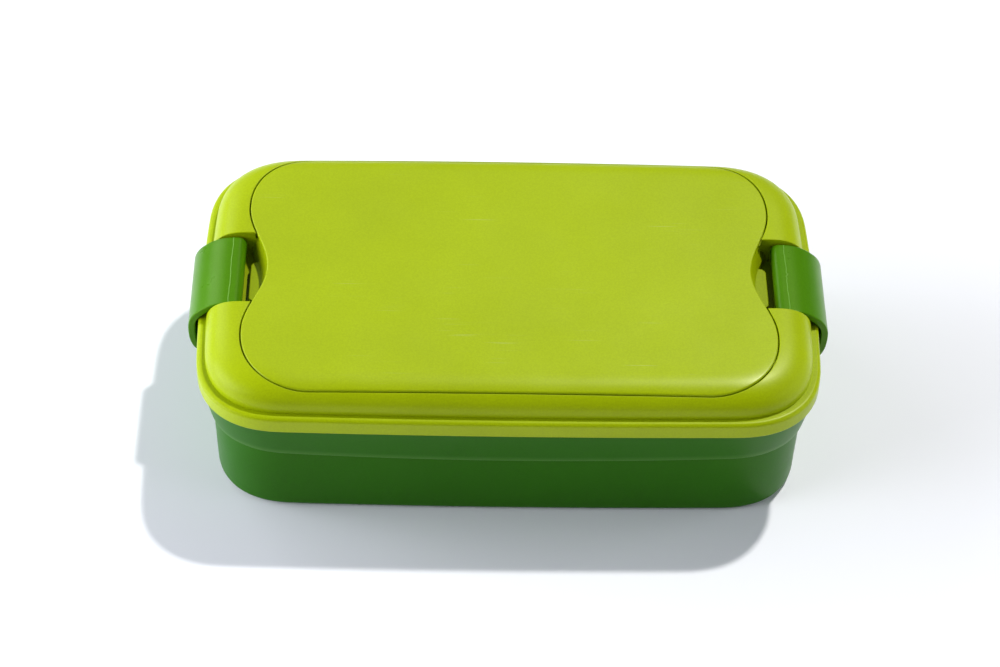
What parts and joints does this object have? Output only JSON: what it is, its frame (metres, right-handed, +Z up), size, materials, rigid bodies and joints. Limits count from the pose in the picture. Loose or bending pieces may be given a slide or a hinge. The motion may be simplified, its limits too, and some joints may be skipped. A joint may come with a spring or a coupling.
{
  "type": "lunch box",
  "caption": "Rectangular lunch box with rounded corners: a tub, a domed lid held by a latch at each end, and a lift-off panel over cutlery stored in the lid.",
  "frame": {"origin": "centre of the underside", "axes": "+X along the length, +Y to the back, +Z up out of the lid"},
  "size_m": [0.2294, 0.1312, 0.0617],
  "materials": {
    "lime_plastic": "satin moulded polypropylene",
    "green_plastic": "satin moulded polypropylene",
    "latch_plastic": "semi-gloss moulded polypropylene",
    "seal_silicone": "matt silicone"
  },
  "bodies": {
    "base": {"base_container": "green_plastic"},
    "lid": {"lid": "lime_plastic", "lid_seal": "seal_silicone"},
    "panel": {"top_panel": "lime_plastic"},
    "left_latch": {"left_latch": "latch_plastic"},
    "right_latch": {"right_latch": "latch_plastic"},
    "spoon": {"spoon": "latch_plastic"},
    "fork": {"fork": "latch_plastic"},
    "knife": {"knife": "latch_plastic"}
  },
  "joints": [
    {"name": "lid_lift", "type": "slide", "parent": "base", "child": "lid", "axis": [0, 0, 1], "range_m": [0, 0.07]},
    {"name": "left_latch_hinge", "type": "hinge", "parent": "lid", "child": "left_latch", "pos_m": [-0.0981, 0, 0.0568], "axis": [0, 1, 0], "range_deg": [0, 105]},
    {"name": "right_latch_hinge", "type": "hinge", "parent": "lid", "child": "right_latch", "pos_m": [0.0981, 0, 0.0568], "axis": [0, -1, 0], "range_deg": [0, 105]},
    {"name": "panel_lift", "type": "slide", "parent": "lid", "child": "panel", "axis": [0, 0, 1], "range_m": [0, 0.06]},
    {"name": "spoon_lift", "type": "slide", "parent": "lid", "child": "spoon", "axis": [0, 0, 1], "range_m": [0, 0.04]},
    {"name": "fork_lift", "type": "slide", "parent": "lid", "child": "fork", "axis": [0, 0, 1], "range_m": [0, 0.04]},
    {"name": "knife_lift", "type": "slide", "parent": "lid", "child": "knife", "axis": [0, 0, 1], "range_m": [0, 0.04]}
  ],
  "couplings": [
    {"joint": "left_latch_hinge", "follows": "lid_lift", "rad_per_m": 26},
    {"joint": "right_latch_hinge", "follows": "lid_lift", "rad_per_m": 26},
    {"joint": "spoon_lift", "follows": "panel_lift", "ratio": 0.5},
    {"joint": "fork_lift", "follows": "panel_lift", "ratio": 0.5},
    {"joint": "knife_lift", "follows": "panel_lift", "ratio": 0.5}
  ]
}
